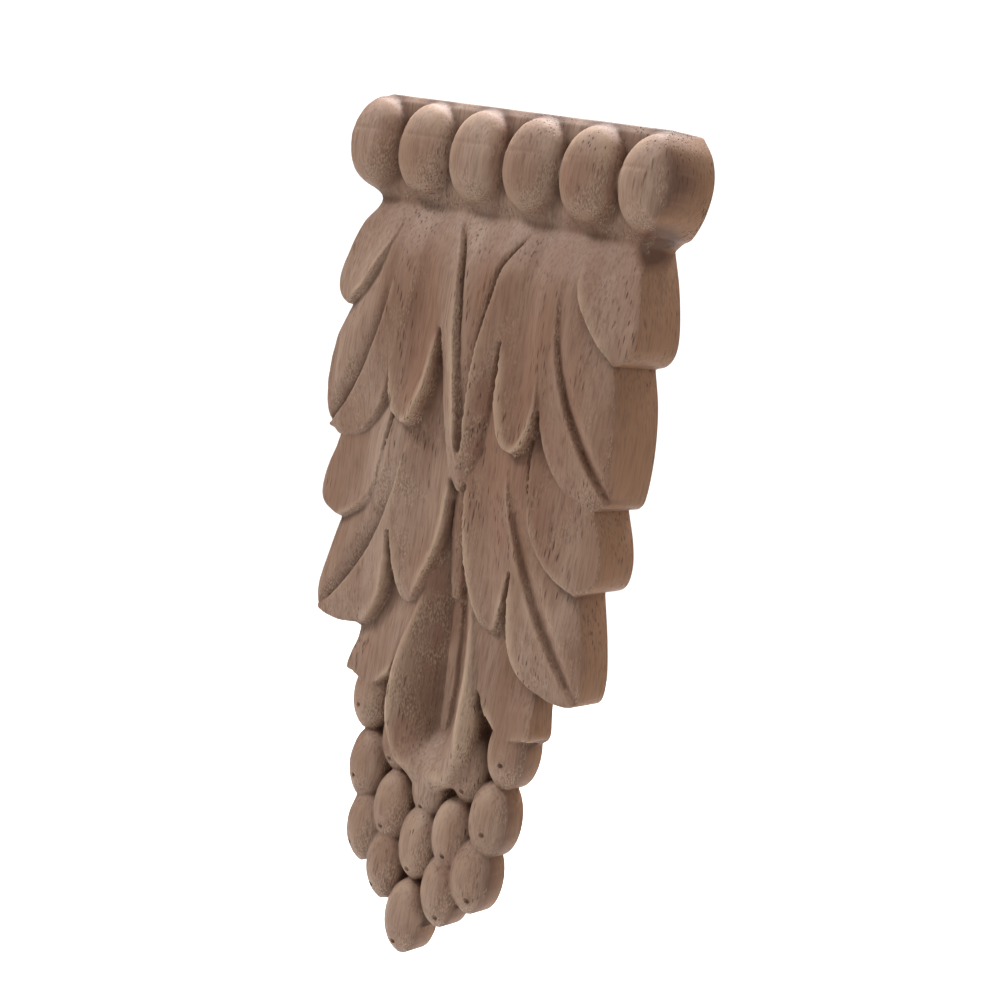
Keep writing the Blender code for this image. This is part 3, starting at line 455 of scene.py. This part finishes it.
def grid_fields(ring):
    """The grid's corner, the softened heights on it, and the heights softened over a wider reach."""
    across = np.arange(-GRID_HALF_WIDTH, GRID_HALF_WIDTH, GRID)
    up = np.arange(-GRID_MARGIN, TALL + GRID_MARGIN, GRID)
    places = np.stack(np.meshgrid(across, up), -1).reshape(-1, 2)
    height = relief_height(places[:, 0], places[:, 1]).reshape(len(up), len(across))
    wood = inside(places, moved_in(ring, EDGE_LEFT_OUT)).reshape(height.shape).astype(float)
    soft, broad = (softened(height * wood, reach) / np.maximum(softened(wood, reach), LEAST_WEIGHT)
                   for reach in (SOFTENED, HOLLOW_REACH))
    in_neck = np.exp(-((up[:, None] - NECK_UP) / NECK_EASE_REACH) ** 2)
    soft += in_neck * (softened(soft, NECK_EASE) - soft)
    chance = np.random.default_rng(11)
    for reach, depth in CHATTER:
        bob = softened(chance.normal(size=soft.shape), reach)
        soft += depth * bob / bob.std()
    return (across[0], up[0]), soft, broad


def sampled(corner, field, places):
    """The field's values at the places, blended between the grid's corners."""
    x = (places[:, 0] - corner[0]) / GRID
    y = (places[:, 1] - corner[1]) / GRID
    i, j = x.astype(int), y.astype(int)
    u, v = x - i, y - j
    low = field[j, i] * (1 - u) + field[j, i + 1] * u
    high = field[j + 1, i] * (1 - u) + field[j + 1, i + 1] * u
    return low * (1 - v) + high * v


def edge_lines():
    """Lines along each carved edge and on both sides of it, so that the mesh steps down just there."""
    curves = []
    for edge in DROPS:
        length = np.hypot(*np.diff(edge, axis=0).T[:2]).sum()
        curves.append(spline(edge, round(length / STEP)))
    ends = np.cumsum([len(curve) for curve in curves])[:-1]
    sides = [relief_height(*np.concatenate([beside(curve, gap) for curve in curves])[:, :2].T)
             for gap in (-GRID, GRID)]
    kept = []
    highs, lows = np.split(np.maximum(*sides), ends), np.split(np.minimum(*sides), ends)
    for curve, high, low in zip(curves, highs, lows):
        shows = (high < curve[:, 2] + COVERED_BY) & (high - low > LEAST_DROP)
        for gap in LINE_GAPS:
            line = beside(curve, gap)[:, :2]
            kept += [run[1:] for run in np.split(line, np.flatnonzero(~shows)) if len(run) > 3]
    return kept


def clear_of(places, others, gap):
    """Which of the places keep the gap to all the others."""
    size = max(gap, 0.5)
    boxes = {}
    for place in others:
        boxes.setdefault((int(place[0] // size), int(place[1] // size)), []).append(place)
    boxes = {key: np.array(held) for key, held in boxes.items()}
    clear = np.ones(len(places), bool)
    for number, (x, y) in enumerate(places):
        i, j = int(x // size), int(y // size)
        for key in ((i + a, j + b) for a in (-1, 0, 1) for b in (-1, 0, 1)):
            if key in boxes and ((boxes[key] - (x, y)) ** 2).sum(1).min() < gap * gap:
                clear[number] = False
                break
    return clear


def fine_relief():
    """The whole onlay as one closed mesh: carved face, upright sides and flat back."""
    ring = resampled(outline(), STEP)
    count = len(ring)
    places = []
    edges = []
    for gap, _ in RIM_STEPS:
        edges += [(len(places) + number, len(places) + (number + 1) % count) for number in range(count)]
        places += list(moved_in(ring, gap))
    inner = moved_in(ring, RIM_STEPS[-1][0])
    for line in edge_lines():
        for side in (1, -1):
            turned = line * (side, 1)
            fits = inside(turned, ring) & (line[:, 0] > LINE_TO_MIDDLE)
            fits &= clear_of(turned, inner, LINE_TO_RIM) & clear_of(turned, ring, LINE_TO_OUTLINE)
            for run in np.split(np.arange(len(line)), np.flatnonzero(~fits)):
                run = run[fits[run]]
                edges += [(len(places) + step, len(places) + step + 1) for step in range(len(run) - 1)]
                places += list(turned[run])
    turns = np.linspace(0, 2 * np.pi, TIP_RING_POINTS + 1)[:-1]
    for x, y, _ in tip_marks():
        for radius in TIP_RINGS:
            turn = turns[:1] if radius == 0 else turns
            dots = np.stack([x + radius * np.cos(turn), y + radius * np.sin(turn)], 1)
            places += list(dots[inside(dots, inner) & clear_of(dots, inner, TIP_RING_TO_RIM)])
    rows = np.arange(0, TALL, CELL * ROW_PER_CELL)
    columns = np.arange(-CELLS_HALF_WIDTH, CELLS_HALF_WIDTH, CELL)
    spots = np.concatenate([np.stack([columns + CELL / 2 * (number % 2), np.full(len(columns), row)], 1)
                            for number, row in enumerate(rows)])
    spots = spots[inside(spots, inner)]
    places += list(spots[clear_of(spots, places, CELL / 2)])
    flat, _, triangles, sources, _, _ = delaunay_2d_cdt(
        [Vector(place) for place in places], edges, [list(range(count))], 1, 1e-6)
    flat = np.array([tuple(place) for place in flat])
    corner, soft, broad = grid_fields(ring)
    height = sampled(corner, soft, flat)
    hollow = sampled(corner, broad, flat) - height
    height -= tip_depth(flat[:, 0], flat[:, 1])
    on_rail = np.clip((flat[:, 1] - NECK_UP) / PASS_LINE_FADE, 0, 1)
    height -= PASS_LINE_DEPTH * on_rail * np.exp(-((flat[:, 1] - PASS_LINE_UP) / PASS_LINE_WIDTH) ** 2)
    rim = {}
    for number, source in enumerate(sources):
        for given in source:
            if given < count * len(RIM_STEPS):
                height[number] -= RIM_STEPS[given // count][1]
                if given < count:
                    rim[given] = number
                break
    rim = [rim[number] for number in range(count)]
    front = np.stack([flat[:, 0], -height, flat[:, 1] - HALF_TALL], 1)
    back = np.stack([ring[:, 0], np.zeros(count), ring[:, 1] - HALF_TALL], 1)
    first = len(front)
    walls = [(rim[number], first + number, first + (number + 1) % count, rim[(number + 1) % count])
             for number in range(count)]
    _, _, halves, back_sources, _, _ = delaunay_2d_cdt(
        [Vector(place) for place in ring], edges[:count], [list(range(count))], 1, 1e-6)
    behind = [[first + back_sources[corner][0] for corner in reversed(face)] for face in halves]
    mesh = bpy.data.meshes.new("onlay_relief")
    mesh.from_pydata((np.concatenate([front, back]) * MM).tolist(), [], triangles + walls + behind)
    # The sides, their softened rim and the back are marked here for the painted shade that the material
    # lays on them.
    side = np.concatenate([np.zeros(first), np.ones(count)])
    side[rim] = 1
    # The hollow attribute, how far each place lies below its wider surroundings, drives painted shade in
    # the hollows and a painted highlight on the crests.
    for name, values in (("hollow", np.concatenate([hollow, np.zeros(count)])), ("side", side)):
        mesh.attributes.new(name, "FLOAT", "POINT").data.foreach_set("value", values.astype(np.float32))
    return mesh


relief_mesh = fine_relief()
relief_mesh.shade_smooth()
relief_mesh.set_sharp_from_angle(angle=np.radians(SHARP_FROM))
relief = bpy.data.objects.new("onlay_relief", relief_mesh)
bpy.context.scene.collection.objects.link(relief)


# The wood itself: rubberwood, straight from the cutter and neither sanded nor oiled, so it scatters the
# light broadly. Its pores show as short dark dashes down the grain, and the fibres that the cutter raised
# stand pale on the slopes that face away from its pass, with painted shade in the gaps between them.
# Painted shade makes the hollows darker and warmer, a painted highlight makes the crests paler, and the
# upright sides and the back are painted a darker, warmer brown as painted shade.
def linear(code):
    """A hex sRGB colour as linear values."""
    parts = [int(code[k:k + 2], 16) / 255 for k in (0, 2, 4)]
    return [p / 12.92 if p <= 0.04045 else ((p + 0.055) / 1.055) ** 2.4 for p in parts] + [1.0]


def node(owner, kind, settings=None, values=None, links=None):
    """Adds a node with its settings, the values of its inputs and the sockets that feed it."""
    made = owner.node_tree.nodes.new(kind)
    for name, value in (settings or {}).items():
        setattr(made, name, value)
    for name, value in (values or {}).items():
        made.inputs[name].default_value = value
    for name, socket in (links or {}).items():
        owner.node_tree.links.new(socket, made.inputs[name])
    return made


WOOD_PALE = linear("9D8371")
WOOD_BROWN = linear("7F5D48")
WOOD_RED = linear("825A45")
# Painted shade in the hollows. The same dark brown also draws the fine dark streaks of the grain.
DARK_STREAK_AND_HOLLOW_SHADE = linear("4E2D1B")
# Painted shade: the darker, warmer brown of the upright sides, their rim and the back.
SIDE_PAINTED_SHADE = linear("845D3F")
# The pale of the raised fibres, also used as a painted highlight on the crests.
FIBRE_PALE_AND_CREST_HIGHLIGHT = linear("B69B82")
# Painted shade in the gaps between the raised fibres.
FIBRE_SHADE = linear("6A4E38")
PORE_DARK = linear("4E2D1A")

# Sizes across and along the grain, in millimetres: each is one wave or one cell of its pattern. The real
# pores are about 0.2 mm wide. The single fibres, a few hundredths of a millimetre, are drawn 0.3 mm wide so
# that they show.
STAVE_FIGURE = (16.0, 70.0)
RED_PATCH = (11.0, 45.0)
GROWTH_STREAK = (1.5, 40.0)
FINE_STREAK = (0.45, 9.0)
PORE_CELL = (0.7, 6.0)
PORE_PATCH = (12.0, 30.0)
FIBRE = (0.3, 0.9)
FIBRE_PATCH = (5.0, 8.0)
AWAY_FROM_THE_PASS = (0.62, 0.0, -0.78)

rubberwood = bpy.data.materials.new("rubberwood_from_the_cutter")
rubberwood.use_nodes = True
wood_surface = rubberwood.node_tree.nodes["Principled BSDF"]
wood_surface.inputs["Roughness"].default_value = 0.66
wood_surface.inputs["IOR"].default_value = 1.5
spot = node(rubberwood, "ShaderNodeTexCoord")
pattern = {}
for name, (across_grain, along_grain) in (
        ("figure", STAVE_FIGURE), ("red", RED_PATCH), ("growth", GROWTH_STREAK), ("streak", FINE_STREAK),
        ("pore_patch", PORE_PATCH), ("fibre", FIBRE), ("fibre_patch", FIBRE_PATCH), ("pore", PORE_CELL)):
    scale = (1 / (across_grain * MM), 1 / (across_grain * MM), 1 / (along_grain * MM))
    along = node(rubberwood, "ShaderNodeMapping", values={"Scale": scale},
                 links={"Vector": spot.outputs["Object"]}).outputs["Vector"]
    if name == "pore":
        pattern[name] = node(rubberwood, "ShaderNodeTexVoronoi", values={"Scale": 1.0},
                             links={"Vector": along}).outputs["Distance"]
    else:
        pattern[name] = node(rubberwood, "ShaderNodeTexNoise", values={"Scale": 1.0, "Detail": 2.0},
                             links={"Vector": along}).outputs["Fac"]
for name in ("hollow", "side"):
    pattern[name] = node(rubberwood, "ShaderNodeAttribute", {"attribute_name": name}).outputs["Fac"]

# How far each place faces down and to the right, away from the cutter's pass, where the fibres stand up.
facing = node(rubberwood, "ShaderNodeVectorMath", {"operation": "DOT_PRODUCT"},
              values={1: AWAY_FROM_THE_PASS}, links={0: spot.outputs["Normal"]})
pattern["facing"] = facing.outputs["Value"]

# Each amount is its pattern's range from low to high, stretched to the range from none to most.
amount = {}
for name, source, low, high, most in (
        ("figure", "figure", 0.35, 0.65, 1.0), ("red", "red", 0.48, 0.68, 0.6),
        ("side", "side", 0.2, 1.0, 0.9), ("off_the_side", "side", 0.3, 0.0, 1.0),
        ("growth", "growth", 0.42, 0.68, 0.45), ("streak", "streak", 0.45, 0.72, 0.42),
        ("hollow", "hollow", 0.2, 1.6, 0.85), ("painted_crest_highlight", "hollow", -0.2, -1.1, 0.55),
        ("pore", "pore", 0.28, 0.13, 0.95), ("pore_patch", "pore_patch", 0.47, 0.62, 1.0),
        ("fuzzy_side", "facing", 0.0, 0.42, 1.0), ("fuzz_patch", "fibre_patch", 0.4, 0.6, 1.0),
        ("fibre", "fibre", 0.48, 0.68, 0.6), ("between", "fibre", 0.5, 0.36, 0.65)):
    amount[name] = node(rubberwood, "ShaderNodeMapRange",
                        values={"From Min": low, "From Max": high, "To Max": most},
                        links={"Value": pattern[source]}).outputs["Result"]
for name, one, other in (
        ("pores", "pore", "pore_patch"), ("fuzz_on_face", "fuzzy_side", "off_the_side"),
        ("fuzz", "fuzz_on_face", "fuzz_patch"), ("fibres", "fuzz", "fibre"), ("fibre_gap_shade", "fuzz", "between")):
    amount[name] = node(rubberwood, "ShaderNodeMath", {"operation": "MULTIPLY"},
                        links={0: amount[one], 1: amount[other]}).outputs[0]

# The colours lie on each other in this order, each by its amount.
colour = node(rubberwood, "ShaderNodeMix", {"data_type": "RGBA"}, {6: WOOD_PALE, 7: WOOD_BROWN},
              {0: amount["figure"]}).outputs[2]
# Of these layers, the hollows' is painted shade, the crests' a painted highlight, the sides' painted shade
# on the upright sides and the back, and the gaps' painted shade between the raised fibres.
for name, over in (
        ("red", WOOD_RED), ("side", SIDE_PAINTED_SHADE), ("growth", WOOD_BROWN), ("streak", DARK_STREAK_AND_HOLLOW_SHADE),
        ("hollow", DARK_STREAK_AND_HOLLOW_SHADE), ("painted_crest_highlight", FIBRE_PALE_AND_CREST_HIGHLIGHT), ("fibre_gap_shade", FIBRE_SHADE), ("fibres", FIBRE_PALE_AND_CREST_HIGHLIGHT),
        ("pores", PORE_DARK)):
    colour = node(rubberwood, "ShaderNodeMix", {"data_type": "RGBA"}, {7: over},
                  {0: amount[name], 6: colour}).outputs[2]
rubberwood.node_tree.links.new(colour, wood_surface.inputs["Base Color"])

# The fine relief that the grain, the pores and the raised fibres give the surface, with its depths in mm.
surface = None
for height, sunk, strength, depth in (
        (pattern["streak"], False, 0.6, 0.06), (amount["pores"], True, 0.8, 0.2),
        (amount["fibres"], False, 0.7, 0.15)):
    into = {"Height": height} if surface is None else {"Height": height, "Normal": surface}
    surface = node(rubberwood, "ShaderNodeBump", {"invert": sunk},
                   {"Strength": strength, "Distance": depth * MM}, into).outputs["Normal"]
rubberwood.node_tree.links.new(surface, wood_surface.inputs["Normal"])

relief_mesh.materials.append(rubberwood)
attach(relief, "root")
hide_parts("carved_onlay")

# The studio: a plain pale floor well below the onlay, a soft surround that is dark below and brighter
# overhead, and white where the backdrop stands behind the onlay. One soft lamp stands above and to the
# left, a wide weak one to the right, and one over the floor lights it behind the onlay.
FLOOR_DROP = 0.30
FLOOR_WIDTH = 2.4
TOWARDS_BACKDROP = (-0.64, 0.76, -0.1)
bpy.ops.mesh.primitive_plane_add(size=FLOOR_WIDTH, location=(0, 0, -HALF_TALL * MM - FLOOR_DROP))
floor = bpy.context.object
floor.name = "floor"
paper = bpy.data.materials.new("pale_paper")
paper.use_nodes = True
paper.node_tree.nodes["Principled BSDF"].inputs["Base Color"].default_value = linear("E6E6E4")
paper.node_tree.nodes["Principled BSDF"].inputs["Roughness"].default_value = 0.95
floor.data.materials.append(paper)

surround = bpy.data.worlds.new("surround")
surround.use_nodes = True
surround.node_tree.nodes["Background"].inputs["Strength"].default_value = 1.0
toward = node(surround, "ShaderNodeTexCoord").outputs["Generated"]
to_backdrop = node(surround, "ShaderNodeVectorMath", {"operation": "DOT_PRODUCT"},
                   {1: TOWARDS_BACKDROP}, {0: toward}).outputs["Value"]
backdrop = node(surround, "ShaderNodeMapRange",
                values={"From Min": 0.80, "From Max": 0.90, "To Max": 0.9},
                links={"Value": to_backdrop}).outputs["Result"]
upward = node(surround, "ShaderNodeSeparateXYZ", links={0: toward}).outputs["Z"]
sky = node(surround, "ShaderNodeMapRange",
           values={"From Min": -1.0, "From Max": 1.0, "To Min": 0.0, "To Max": 0.58},
           links={"Value": upward}).outputs["Result"]
brightness = node(surround, "ShaderNodeMath", {"operation": "ADD"}, links={0: sky, 1: backdrop}).outputs[0]
surround.node_tree.links.new(brightness, surround.node_tree.nodes["Background"].inputs["Color"])
bpy.context.scene.world = surround
bpy.context.scene.view_settings.view_transform = "Standard"


def lamp(name, place, aim, width, power):
    """A square soft lamp that looks from its place to its aim."""
    light = bpy.data.lights.new(name, "AREA")
    light.size = width
    light.energy = power
    made = bpy.data.objects.new(name, light)
    made.location = place
    made.rotation_euler = (Vector(aim) - Vector(place)).to_track_quat("-Z", "Y").to_euler()
    bpy.context.scene.collection.objects.link(made)


lamp("key_lamp", (-0.55, -0.55, 0.77), (0, 0, 0), 0.28, 8.6)
lamp("floor_lamp", (-0.25, 0.35, 0.8), (-0.95, 1.15, -0.4), 0.6, 56)
lamp("side_lamp", (1.0, -0.1, 0.35), (0, 0, 0), 0.8, 3.6)

# The camera stands to the right of the onlay and a little above its middle, and leans, as in the picture.
eye = bpy.data.cameras.new("camera")
eye.sensor_width = 36
eye.lens = 64.80
camera = bpy.data.objects.new("camera", eye)
camera.location = (0.25929, -0.31366, 0.07977)
camera.rotation_euler = np.radians([80.394, -9.573, 40.883])
bpy.context.scene.collection.objects.link(camera)
bpy.context.scene.camera = camera
